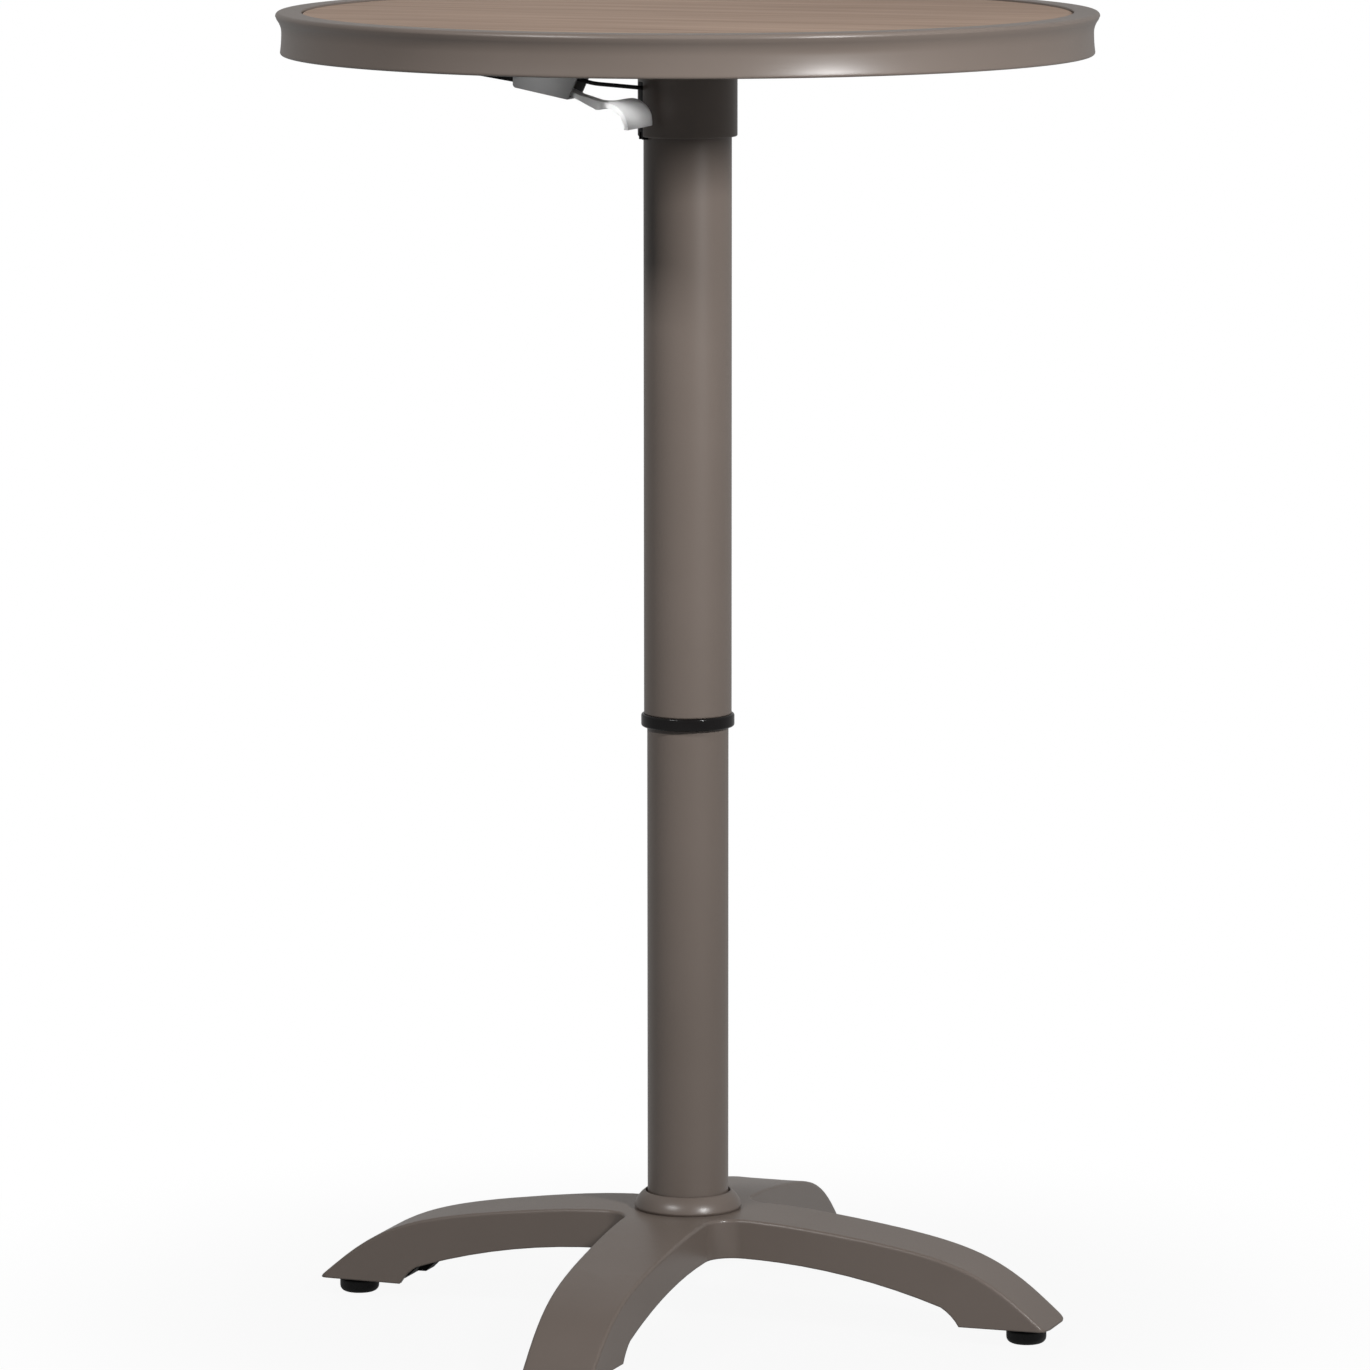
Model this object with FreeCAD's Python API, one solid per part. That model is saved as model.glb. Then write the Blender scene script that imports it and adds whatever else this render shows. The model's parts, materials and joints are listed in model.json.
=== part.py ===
import FreeCAD, Part
import math
import os
from FreeCAD import Vector as V

# Height-adjustable bar table, millimetres, standing on z = 0 with the column on the Z axis.
# The four legs lie along the X and Y axes.

# Table top
rim_radius = 325.0
rim_top_z = 1052.0
rim_height = 33.5
rim_band = 20.5
rim_wall = 3.0
rim_cove_depth = 4.2
rim_bulge_inset = 1.8
rim_lip_height = 7.0
rim_lip_round = 3.2
rim_lip_draft = 0.5
rim_bead_height = 4.5
rim_flange = 14.0
rim_flange_thick = 2.5
ledge_width = 12.0
ledge_thick = 2.5
panel_thick = 12.0
panel_recess = 1.5
panel_gap = 1.0

# Carrier under the top
bar_width = 30.0
bar_wall = 2.0
bar_spacing = 144.0
bar_end_gap = 0.2
plate_length_x = 96.0
plate_thick = 4.0
plate_overhang = 3.0

# Column
upper_tube_radius = 35.0
upper_tube_wall = 1.5
lower_tube_radius = 32.5
lower_tube_wall = 2.0
lower_tube_length = 575.0
tube_overlap = 158.0
guide_ring_height = 10.3
guide_ring_radius = 37.3
guide_sleeve_length = 60.0
guide_ring_round = 1.8
slide_clearance = 0.1
head_radius = 39.5
head_height = 63.7
head_socket_depth = 31.0
head_cap_thick = 4.0
head_wall_top = 6.5
head_edge_round = 1.0
slot_width = 11.0
slot_height = 43.5
slot_angle = 218.0
grommet_fork = 6.0
grommet_drop = 2.0

# Base
hub_top_z = 90.0
hub_under_z = 58.5
leg_end_z = 15.0
leg_reach = 310.2
leg_width_hub = 74.0
leg_width_tip = 58.0
leg_flat = 60.0
leg_pad_length = 71.8
leg_heel_rise = 15.0
leg_heel_bulge = 1.0
leg_side_wall = 5.0
leg_top_wall = 6.0
leg_web_fillet = 22.0
leg_tip_fillet = 8.0
leg_edge_round = 2.6
hub_boss_radius = 42.0
tube_seat_depth = 25.0
collar_radius = 43.1
collar_height = 14.3

# Feet
foot_inset = 24.8
foot_radius = 16.0
foot_height = 12.0
foot_round = 3.0
stud_radius = 4.0
stud_length = 18.0
insert_radius = 6.0
insert_length = 7.0
stud_clearance = 0.08

# Gas spring
cylinder_radius = 14.0
cylinder_wall = 1.6
cylinder_stand = 10.0
cylinder_stud_radius = 6.0
rod_radius = 5.0
rod_gap = 18.0
pin_radius = 1.75
pin_length = 40.0
pin_stand = 3.5
plug_thick = 12.0
washer_thick = 3.0
nut_height = 6.0

# Release head in the top of the column
release_head_radius = 22.0
release_head_drop = 30.0
crank_pivot_q = 9.0
crank_rise = 7.0
crank_thick = 5.0
crank_drop = 12.0
crank_nose = 3.0
crank_hub = 4.6
crank_side_gap = 0.4
crank_slot_back = 7.0
crank_slot_front = 7.5
crank_slot_roof = 3.0
crank_slot_web = 1.4
crank_pin_inset = 4.5
nipple_shift = 1.5
sheath_end_q = 20.0
crank_touch_gap = 0.15
crank_pin_radius = 2.0
running_clearance = 0.05

# Hand lever
lever_line_y = -72.0
cover_width = 30.0
cover_wall = 2.0
cover_left_x = -115.0
cover_heel_x = -69.0
cover_heel_drop = 35.4
cover_toe_drop = 26.4
cover_slant = 0.465
cover_corner = 3.0
base_left_x = -185.0
base_nose = 12.0
base_toe_drop = 22.4
base_gap = 0.3
ear_thick = 2.5
ear_margin = 0.8
ear_step = 0.9
hub_side_gap = 0.3
abutment_half = 4.0
pivot_x = -92.0
pivot_drop = 19.8
pivot_radius = 2.0
lever_hub_radius = 4.3
horn_rise = 7.0
horn_half = 2.5
nipple_half = 3.5
abutment_offset = 13.0
abutment_drop = 5.8
wire_offset = 6.0
base_screw_margin = 22.0
cover_screw_margin = 18.0
base_screw_inset = 5.0
roof_gap = 2.2
lever_thick = 4.0
lever_reach = 77.8
lever_drop = 37.3
arm_width = 14.5
arm_line_y = -73.75
paddle_width = 60.0
paddle_corner = 9.0
cable_radius = 1.65
wire_radius = 0.6
wire_clearance = 0.4
cable_lead = 14.0
cable_side = 6.5
cable_dip = 5.3
ferrule_radius = 2.6
ferrule_length = 6.0
nipple_radius = 2.0

# Screws
m4_radius = 2.0
m5_radius = 2.5
m8_radius = 4.0
screw_head_ratio = 1.7
screw_head_height = 3.0
screw_gap = 0.1
set_screw_sink = 0.3

rim_bottom_z = rim_top_z - rim_height
panel_top_z = rim_top_z - panel_recess
panel_under_z = panel_top_z - panel_thick
rim_inner = rim_radius - rim_band
ledge_under_z = panel_under_z - ledge_thick
bar_under_z = rim_bottom_z + rim_flange_thick
plate_under_z = bar_under_z - plate_thick
plate_half_y = bar_spacing / 2 + bar_width / 2 + plate_overhang
head_top_z = plate_under_z
head_bottom_z = head_top_z - head_height
head_cavity_top = head_top_z - head_cap_thick
upper_tube_top = head_bottom_z + head_socket_depth
tube_seat_z = hub_top_z - tube_seat_depth
lower_tube_top = tube_seat_z + lower_tube_length
guide_ring_z = lower_tube_top - tube_overlap
cylinder_z = tube_seat_z + plug_thick
cylinder_top = lower_tube_top + cylinder_stand
rod_top_z = head_cavity_top - rod_gap
crank_pivot_z = rod_top_z + crank_rise
slot_top_z = head_bottom_z + slot_height
cover_heel_z = bar_under_z - cover_heel_drop
cover_toe_z = bar_under_z - cover_toe_drop
base_toe_z = bar_under_z - base_toe_drop
pivot_z = bar_under_z - pivot_drop
leg_heel = leg_reach - leg_pad_length
foot_circle = leg_reach - foot_inset
X = V(1, 0, 0)
Y = V(0, 1, 0)
Z = V(0, 0, 1)


def cylinder(radius, z0, z1, x=0.0, y=0.0):
    return Part.makeCylinder(radius, z1 - z0, V(x, y, z0))


def ring(outer, inner, z0, z1):
    return cylinder(outer, z0, z1).cut(cylinder(inner, z0, z1))


def block(x0, x1, y0, y1, z0, z1):
    return Part.makeBox(x1 - x0, y1 - y0, z1 - z0, V(x0, y0, z0))


def cross_pin(radius, x, y0, y1, z):
    return Part.makeCylinder(radius, y1 - y0, V(x, y0, z), Y)


def face_of(edges):
    return Part.Face(Part.Wire(Part.__sortEdges__(edges)))


def line(a, b):
    return Part.LineSegment(a, b).toShape()


def arc(a, b, c):
    return Part.Arc(a, b, c).toShape()


def polygon(points):
    return Part.Face(Part.makePolygon(list(points) + [points[0]]))


def turned(face):
    return face.revolve(V(0, 0, 0), Z, 360)


def quarter_copies(shape, first=0.0):
    copies = []
    for step in range(4):
        copy = shape.copy()
        copy.rotate(V(0, 0, 0), Z, first + 90 * step)
        copies.append(copy)
    return copies


def to_slot(shape):
    shape.rotate(V(0, 0, 0), Z, slot_angle)
    return shape


def screw(radius, length, head_at, direction):
    """Pan-head screw whose head bears at head_at and whose shank runs along direction."""
    shank = Part.makeCylinder(radius, length, head_at, direction)
    head = Part.makeCylinder(
        radius * screw_head_ratio, screw_head_height, head_at, direction.negative())
    return shank.fuse(head).removeSplitter()


def save(shape, name):
    shape.exportStep("parts/" + name + ".step")


def save_group(shapes, name):
    save(Part.makeCompound(shapes), name)


# Legs: the height comes from a side profile and the outline from a plan, both along +X.
# The crest falls from the hub to the tip through these shares of its length and of its fall.
leg_crest = ((0, 0), (0.32, 0.096), (0.532, 0.203), (0.739, 0.396), (0.879, 0.667), (1, 1))


def leg_half_width(u, inset):
    taper = (leg_width_hub - leg_width_tip) / 2 / leg_reach
    return leg_width_hub / 2 - taper * u - inset


def leg_profile(drop, floor_z):
    """Side view of a leg, its top lowered by drop; floor_z None keeps the arched underside."""
    def top(u, z):
        return V(u, 0, z - drop)
    flat = top(leg_flat, hub_top_z)
    tip = top(leg_reach, leg_end_z)
    crown = top(0, hub_top_z)
    span = leg_reach - leg_flat
    fall = hub_top_z - leg_end_z
    crest = Part.BSplineCurve()
    crest.interpolate(
        Points=[top(leg_flat + along * span, hub_top_z - down * fall) for along, down in leg_crest],
        InitialTangent=V(span, 0, -0.1 * fall), FinalTangent=V(span, 0, -2.8 * fall))
    edges = [line(crown, flat), crest.toShape()]
    if floor_z is None:
        heel = V(leg_heel, 0, leg_end_z)
        bend = V(leg_heel - leg_heel_rise, 0, leg_end_z + leg_heel_rise)
        heel_mid = (heel + bend) / 2 + V(leg_heel_bulge, 0, leg_heel_bulge)
        under = V(leg_flat, 0, hub_under_z)
        arch = V((leg_flat + bend.x) / 2, 0, hub_under_z - 0.27 * (hub_under_z - bend.z))
        root = V(0, 0, hub_under_z)
        edges += [line(tip, heel), arc(heel, heel_mid, bend), arc(bend, arch, under)]
        edges += [line(under, root), line(root, crown)]
    else:
        low_tip = V(tip.x, 0, floor_z)
        low_root = V(0, 0, floor_z)
        edges += [line(tip, low_tip), line(low_tip, low_root), line(low_root, crown)]
    return face_of(edges)


def leg_plan(inset, reach):
    """Quarter of the base seen from above: one leg between the two diagonals."""
    fillet = leg_web_fillet + inset
    side = leg_half_width(leg_flat, inset)
    root = side + fillet
    diagonal = root - fillet / math.sqrt(2)
    tip_side = leg_half_width(reach, inset)
    cut = leg_tip_fillet
    middle = fillet * math.cos(math.radians(67.5))
    edges = []
    for s in (1, -1):
        start = V(diagonal, s * diagonal, 0)
        on_arc = V(root - middle, s * (root - fillet * math.sin(math.radians(67.5))), 0)
        tangent = V(root, s * side, 0)
        shoulder = V(reach - cut, s * tip_side, 0)
        corner = V(reach - cut * 0.293, s * (tip_side - cut * 0.293), 0)
        end = V(reach, s * (tip_side - cut), 0)
        edges.append(line(V(0, 0, 0), start))
        edges.append(arc(start, on_arc, tangent))
        edges.append(line(tangent, shoulder))
        edges.append(arc(shoulder, corner, end))
    edges.append(line(V(reach, tip_side - cut, 0), V(reach, cut - tip_side, 0)))
    return face_of(edges)


def leg(inset, drop, floor_z, reach):
    side = leg_profile(drop, floor_z)
    side.translate(V(0, -leg_width_hub, 0))
    body = side.extrude(V(0, 2 * leg_width_hub, 0))
    plan = leg_plan(inset, reach)
    plan.translate(V(0, 0, -hub_top_z))
    return body.common(plan.extrude(V(0, 0, 3 * hub_top_z)))


def fused(shapes):
    return shapes[0].multiFuse(shapes[1:]).removeSplitter()


def upper_edges(shape):
    """Edges between the legs' upper faces and their upright sides, short of the tips."""
    found = []
    for edge in shape.Edges:
        middle = edge.valueAt((edge.FirstParameter + edge.LastParameter) / 2)
        rises = []
        for face in shape.ancestorsOfType(edge, Part.Face):
            u, v = face.Surface.parameter(middle)
            rises.append(face.normalAt(u, v).z)
        short_of_tip = max(abs(middle.x), abs(middle.y)) < leg_reach - 2 * leg_tip_fillet
        if len(rises) == 2 and short_of_tip and max(rises) > 0.2 and abs(min(rises)) < 0.1:
            found.append(edge)
    return found


cavity_reach = leg_reach - leg_side_wall
outer = fused(quarter_copies(leg(0.0, 0.0, None, leg_reach)))
outer = outer.makeFillet(leg_edge_round, upper_edges(outer))
channel = leg(leg_side_wall, leg_top_wall, -1.0, cavity_reach)
hub_boss = cylinder(hub_boss_radius, hub_under_z, hub_top_z - 1.0)
casting = outer.cut(fused(quarter_copies(channel))).fuse(hub_boss)
casting = casting.cut(cylinder(lower_tube_radius + screw_gap / 2, tube_seat_z, hub_top_z + 1.0))
stud_hole = cylinder_stud_radius + 2.5
casting = casting.cut(cylinder(stud_hole + nut_height, hub_under_z - 1.0, tube_seat_z + 1.0))
base_screw_circle = 23.0
base_screw_holes = quarter_copies(
    cylinder(m8_radius + screw_gap, hub_under_z - 1.0, tube_seat_z + 1.0, base_screw_circle), 45)
for hole in base_screw_holes:
    casting = casting.cut(hole)
casting = casting.removeSplitter()

# Trim ring round the foot of the column
collar_inner = lower_tube_radius + screw_gap
collar_lip = collar_inner + 1.2
collar_top = hub_top_z + collar_height
collar_mid = V(collar_lip + 0.74 * (collar_radius - collar_lip), 0, hub_top_z + 0.72 * collar_height)
collar_face = face_of([
    line(V(collar_inner, 0, hub_top_z), V(collar_inner, 0, collar_top)),
    line(V(collar_inner, 0, collar_top), V(collar_lip, 0, collar_top)),
    arc(V(collar_lip, 0, collar_top), collar_mid, V(collar_radius, 0, hub_top_z + 2.0)),
    line(V(collar_radius, 0, hub_top_z + 2.0), V(collar_radius - 1.0, 0, hub_top_z)),
    line(V(collar_radius - 1.0, 0, hub_top_z), V(collar_inner, 0, hub_top_z))])

# Lower tube, the disc welded into its foot and the screws from below
lower_bore = lower_tube_radius - lower_tube_wall
lower_tube = ring(lower_tube_radius, lower_bore, tube_seat_z, lower_tube_top)
tube_plug = cylinder(lower_bore, tube_seat_z, cylinder_z)
tube_plug = tube_plug.cut(cylinder(cylinder_stud_radius + running_clearance, tube_seat_z, cylinder_z))
plug_holes = quarter_copies(cylinder(m8_radius, tube_seat_z, cylinder_z, base_screw_circle), 45)
for hole in plug_holes:
    tube_plug = tube_plug.cut(hole)
base_screw_length = plug_thick + tube_seat_z - hub_under_z - 1.0
base_screw = screw(m8_radius, base_screw_length, V(base_screw_circle, 0, hub_under_z), Z)

# Bush on top of the lower tube: steadies the gas spring and runs in the upper tube
upper_bore = upper_tube_radius - upper_tube_wall
bush_skirt = 40.0
bush_cap = 4.0
bush_outer = upper_bore - slide_clearance
bush_hole = cylinder_radius + running_clearance
tube_top_bush = ring(bush_outer, lower_tube_radius, lower_tube_top - bush_skirt, lower_tube_top)
bush_cap_ring = ring(bush_outer, bush_hole, lower_tube_top, lower_tube_top + bush_cap)
tube_top_bush = tube_top_bush.fuse(bush_cap_ring).removeSplitter()

# Gas spring: the cylinder turns in the tube plug on a thrust washer, held by a nut below it
cylinder_bore = cylinder_radius - cylinder_wall
gland_length = 18.0
cylinder_floor = 6.0
stud_end_z = hub_under_z - 2.0
spring_body = cylinder(cylinder_radius, cylinder_z + washer_thick, cylinder_top)
spring_body = spring_body.cut(
    cylinder(cylinder_bore, cylinder_z + washer_thick + cylinder_floor, cylinder_top + 1.0))
spring_body = spring_body.fuse(
    cylinder(cylinder_stud_radius, stud_end_z, cylinder_z + washer_thick)).removeSplitter()
gland = ring(cylinder_bore, rod_radius + running_clearance, cylinder_top - gland_length, cylinder_top)
thrust_washer = ring(
    cylinder_radius, cylinder_stud_radius + running_clearance, cylinder_z, cylinder_z + washer_thick)
nut_across = 19.0
nut_corner = nut_across / math.sqrt(3)
nut_under_z = tube_seat_z - nut_height
nut_points = []
for step in range(6):
    turn = math.radians(60 * step)
    nut_points.append(V(nut_corner * math.cos(turn), nut_corner * math.sin(turn), nut_under_z))
cylinder_nut = polygon(nut_points).extrude(V(0, 0, nut_height))
cylinder_nut = cylinder_nut.cut(cylinder(cylinder_stud_radius, nut_under_z, tube_seat_z))

# Rod, piston and the valve pin in the rod's end
piston_height = 16.0
piston_top = cylinder_top - gland_length - 4.0
rod_foot = piston_top - piston_height
rod = cylinder(rod_radius, rod_foot, rod_top_z)
pin_top = rod_top_z + pin_stand
pin_foot = pin_top - pin_length
valve_travel = 4.0
rod = rod.cut(cylinder(pin_radius + running_clearance, pin_foot - valve_travel, rod_top_z + 1.0))
piston = ring(cylinder_bore - slide_clearance, rod_radius, rod_foot, piston_top)
release_pin = cylinder(pin_radius, pin_foot, pin_top)

# Upper tube and its black guide ring
ring_top = guide_ring_z + guide_ring_height
upper_tube = ring(upper_tube_radius, upper_bore, ring_top, upper_tube_top)
sleeve_bore = lower_tube_radius + slide_clearance
guide_flange = ring(guide_ring_radius, sleeve_bore, guide_ring_z, ring_top)
flange_edges = [e for e in guide_flange.Edges if abs(e.BoundBox.XMax - guide_ring_radius) < 0.01
                and e.BoundBox.ZLength < 0.01]
guide_flange = guide_flange.makeFillet(guide_ring_round, flange_edges)
guide_ring = guide_flange.fuse(ring(upper_bore, sleeve_bore, ring_top, ring_top + guide_sleeve_length))
guide_ring = guide_ring.removeSplitter()

# Column head: socket for the tube, slot for the cable, cap that carries the release head
head_cavity = head_radius - head_wall_top
head = cylinder(head_radius, head_bottom_z, head_top_z)
lower_rim = [e for e in head.Edges if e.BoundBox.ZMax < head_bottom_z + 0.01]
head = head.makeFillet(head_edge_round, lower_rim)
head = head.cut(cylinder(upper_tube_radius, head_bottom_z - 1.0, upper_tube_top))
head = head.cut(cylinder(head_cavity, upper_tube_top - 1.0, head_cavity_top))
slot_cut = block(head_cavity - 3.0, head_radius + 1.0, -slot_width / 2, slot_width / 2,
                 head_bottom_z - 1.0, slot_top_z)
slot_cut = slot_cut.cut(cylinder(upper_tube_radius, head_bottom_z - 2.0, upper_tube_top))
head = head.cut(to_slot(slot_cut))
release_screw_offset = 15.0
for side in (1, -1):
    hole = cylinder(m5_radius, head_cavity_top - 1.0, head_top_z, 0, side * release_screw_offset)
    head = head.cut(to_slot(hole))
socket_wall = head_radius - upper_tube_radius
set_screw_foot = V(upper_tube_radius, 0, head_bottom_z + head_socket_depth / 2)
set_screws = []
for turn in (45, 165):
    hole = Part.makeCylinder(m4_radius, socket_wall + 1.0, set_screw_foot, X)
    pin = Part.makeCylinder(m4_radius, socket_wall - set_screw_sink, set_screw_foot, X)
    hole.rotate(V(0, 0, 0), Z, turn)
    pin.rotate(V(0, 0, 0), Z, turn)
    head = head.cut(hole)
    set_screws.append(pin)
head_screw_circle = 36.2
head_screw_length = 16.0
head_screw_tops = quarter_copies(
    cylinder(m4_radius, head_top_z - head_screw_length, head_top_z, head_screw_circle))
for hole in head_screw_tops:
    head = head.cut(hole)

# Black edging of the cable slot, forked at its foot
grommet_gap = 0.15
grommet_inner = upper_tube_radius + grommet_gap
grommet_face = head_radius - 0.3
grommet_half = slot_width / 2 - grommet_gap
grommet_foot = head_bottom_z - grommet_drop
grommet = block(head_cavity, head_radius + 1.0, -grommet_half, grommet_half,
                grommet_foot, slot_top_z - grommet_gap)
grommet = grommet.common(ring(grommet_face, grommet_inner, grommet_foot, slot_top_z))
fork_half = slot_width / 5
fork = block(0, head_radius + 1.0, -fork_half, fork_half, grommet_foot - 1.0, grommet_foot + grommet_fork)
grommet = grommet.cut(fork)
grommet = to_slot(grommet)

# Release head: the rod screws into it, and a bell crank in its slot presses the valve pin
crank_slot = crank_thick / 2 + crank_side_gap
release_foot = head_cavity_top - release_head_drop
release_head = cylinder(release_head_radius, release_foot, head_cavity_top)
release_head = release_head.cut(cylinder(rod_radius, release_foot - 1.0, rod_top_z))
upper_slot = block(-crank_slot_back, release_head_radius + 1.0, -crank_slot, crank_slot,
                   rod_top_z, head_cavity_top - crank_slot_roof)
lower_slot = block(rod_radius + crank_slot_web, crank_pivot_q + crank_slot_front, -crank_slot, crank_slot,
                   release_foot - 1.0, rod_top_z + 1.0)
release_head = release_head.cut(upper_slot).cut(lower_slot)
crank_pin_half = release_head_radius - crank_pin_inset
crank_pin = cross_pin(crank_pin_radius, crank_pivot_q, -crank_pin_half, crank_pin_half, crank_pivot_z)
release_head = release_head.cut(crank_pin)
nipple_z = crank_pivot_z - crank_drop
nipple_q = crank_pivot_q + nipple_shift
wire_hole = Part.makeCylinder(
    wire_radius + wire_clearance, release_head_radius, V(crank_pivot_q, 0, nipple_z), X)
seat_hole = Part.makeCylinder(
    ferrule_radius, release_head_radius, V(sheath_end_q - ferrule_length / 2 - 0.5, 0, nipple_z), X)
release_head = release_head.cut(wire_hole).cut(seat_hole)
release_screw_depth = 12.0
release_screws = []
release_screw_foot = head_cavity_top - release_screw_depth
for side in (1, -1):
    thread = cylinder(m5_radius, release_screw_foot, head_top_z, 0, side * release_screw_offset)
    release_head = release_head.cut(thread)
    release_screws.append(to_slot(thread.copy()))

crank_half = crank_thick / 2
nose_z = pin_top + crank_nose + crank_touch_gap
crank = cross_pin(crank_hub, crank_pivot_q, -crank_half, crank_half, crank_pivot_z)
crank = crank.fuse(cross_pin(crank_nose, 0, -crank_half, crank_half, nose_z))
crank = crank.fuse(block(0, crank_pivot_q, -crank_half, crank_half, nose_z - 1.0, nose_z + crank_nose))
crank = crank.fuse(cross_pin(nipple_radius + 1.5, nipple_q, -crank_half, crank_half, nipple_z))
crank = crank.fuse(block(nipple_q - nipple_radius, nipple_q + nipple_radius, -crank_half, crank_half,
                         nipple_z, crank_pivot_z))
crank_bore = crank_pin_radius + running_clearance
crank = crank.cut(cross_pin(crank_bore, crank_pivot_q, -crank_half, crank_half, crank_pivot_z))
crank_nipple = cross_pin(nipple_radius, nipple_q, -crank_half, crank_half, nipple_z)
crank = crank.cut(crank_nipple).removeSplitter()

# Bars, mounting plate and their screws
bar_half = bar_width / 2
bar_reach_radius = rim_radius - rim_cove_depth - rim_wall - bar_end_gap


def crossbar(side):
    centre = side * bar_spacing / 2
    near = centre - bar_half
    far = centre + bar_half
    tube = block(-rim_radius, rim_radius, near, far, bar_under_z, ledge_under_z)
    bore = block(-rim_radius, rim_radius, near + bar_wall, far - bar_wall,
                 bar_under_z + bar_wall, ledge_under_z - bar_wall)
    return tube.cut(bore).common(cylinder(bar_reach_radius, bar_under_z, ledge_under_z))


plate_half_x = plate_length_x / 2
plate = block(-plate_half_x, plate_half_x, -plate_half_y, plate_half_y, plate_under_z, bar_under_z)
plate_spots = [V(sx * (plate_half_x - 14.0), sy * bar_spacing / 2, plate_under_z)
               for sx in (1, -1) for sy in (1, -1)]
bars = {1: crossbar(1), -1: crossbar(-1)}
plate_screw_length = plate_thick + bar_wall + 3.0
plate_screws = [screw(m5_radius, plate_screw_length, spot, Z) for spot in plate_spots]
for spot in plate_spots:
    hole = cylinder(m5_radius, spot.z, spot.z + plate_screw_length, spot.x, spot.y)
    plate = plate.cut(hole)
    for side in bars:
        bars[side] = bars[side].cut(hole)
head_screws = quarter_copies(
    screw(m4_radius, head_screw_length, V(head_screw_circle, 0, bar_under_z), Z.negative()))
for hole in quarter_copies(cylinder(m4_radius, plate_under_z, bar_under_z, head_screw_circle)):
    plate = plate.cut(hole)
release_hole = cylinder(m5_radius, plate_under_z, bar_under_z, release_screw_offset)
for hole in quarter_copies(release_hole, slot_angle):
    plate = plate.cut(hole)

# Soft strips between the bars and the panel
strip_reach = rim_inner - ledge_width - 4.0
strips = []
for side in (1, -1):
    centre = side * bar_spacing / 2
    half_length = math.sqrt(strip_reach ** 2 - (bar_spacing / 2 + bar_half) ** 2)
    strips.append(block(-half_length, half_length, centre - bar_half / 2, centre + bar_half / 2,
                        ledge_under_z, panel_under_z))

# Rim: lip, cove and lower bead outside; ledge for the panel and foot flange inside
lip_z = rim_top_z - rim_lip_height
waist_r = rim_radius - rim_cove_depth
bulge_r = rim_radius - rim_bulge_inset
bead_z = rim_bottom_z + rim_bead_height
wall_r = waist_r - rim_wall
flange_r = rim_radius - rim_flange
waist_z = (lip_z + bead_z) / 2 + 0.5
lip_round_start = V(rim_radius - rim_lip_round, 0, rim_top_z)
lip_round_mid = V(rim_radius - 0.293 * rim_lip_round, 0, rim_top_z - 0.293 * rim_lip_round)
lip_round_end = V(rim_radius, 0, rim_top_z - rim_lip_round)
lip_foot = V(rim_radius - rim_lip_draft, 0, lip_z)
bead_mid = V(bulge_r - 0.293 * rim_bead_height, 0, rim_bottom_z + 0.293 * rim_bead_height)
rim_face = face_of([
    line(V(rim_inner, 0, rim_top_z), lip_round_start),
    arc(lip_round_start, lip_round_mid, lip_round_end),
    line(lip_round_end, lip_foot),
    arc(lip_foot, V(waist_r, 0, waist_z), V(bulge_r, 0, bead_z)),
    arc(V(bulge_r, 0, bead_z), bead_mid, V(bulge_r - rim_bead_height, 0, rim_bottom_z)),
    line(V(bulge_r - rim_bead_height, 0, rim_bottom_z), V(flange_r, 0, rim_bottom_z)),
    line(V(flange_r, 0, rim_bottom_z), V(flange_r, 0, bar_under_z)),
    line(V(flange_r, 0, bar_under_z), V(wall_r, 0, bar_under_z)),
    line(V(wall_r, 0, bar_under_z), V(wall_r, 0, ledge_under_z)),
    line(V(wall_r, 0, ledge_under_z), V(rim_inner - ledge_width, 0, ledge_under_z)),
    line(V(rim_inner - ledge_width, 0, ledge_under_z), V(rim_inner - ledge_width, 0, panel_under_z)),
    line(V(rim_inner - ledge_width, 0, panel_under_z), V(rim_inner, 0, panel_under_z)),
    line(V(rim_inner, 0, panel_under_z), V(rim_inner, 0, rim_top_z))])
rim = turned(rim_face)
panel = cylinder(rim_inner - panel_gap, panel_under_z, panel_top_z)
panel_screw_circle = rim_inner - ledge_width / 2
panel_screw_length = ledge_thick + panel_thick - 4.0
panel_screws = quarter_copies(
    screw(m4_radius, panel_screw_length, V(panel_screw_circle, 0, ledge_under_z), Z), 45)
for hole in quarter_copies(
        cylinder(m4_radius, ledge_under_z, ledge_under_z + panel_screw_length, panel_screw_circle), 45):
    rim = rim.cut(hole)
    panel = panel.cut(hole)

# Lever base: black wedge screwed to the front bar, with two ears for the pivot
cover_near = lever_line_y - cover_width / 2
cover_far = lever_line_y + cover_width / 2
base_near = cover_near + cover_wall + base_gap
base_far = cover_far - cover_wall - base_gap
base_right_x = cover_heel_x - 1.0
roof_z = pivot_z + horn_rise + nipple_radius + roof_gap
wedge_end_x = cover_left_x - base_gap
wedge = polygon([
    V(base_left_x, base_near, bar_under_z), V(base_left_x, base_near, bar_under_z - base_nose),
    V(wedge_end_x, base_near, base_toe_z), V(wedge_end_x, base_near, bar_under_z)])
lever_base = wedge.extrude(V(0, base_far - base_near, 0))
lever_base = lever_base.fuse(
    block(wedge_end_x, base_right_x, base_near, base_far, roof_z, bar_under_z))
ear_half = lever_hub_radius + ear_margin
for y0 in (base_near, base_far - ear_thick):
    ear = block(pivot_x - ear_half, pivot_x + ear_half, y0, y0 + ear_thick, pivot_z, roof_z)
    ear_end = cross_pin(ear_half - ear_step, pivot_x, y0, y0 + ear_thick, pivot_z)
    lever_base = lever_base.fuse(ear.fuse(ear_end))
wire_y = lever_line_y + wire_offset
abutment_x = pivot_x + abutment_offset
abutment_z = pivot_z + horn_rise - abutment_drop
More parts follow.
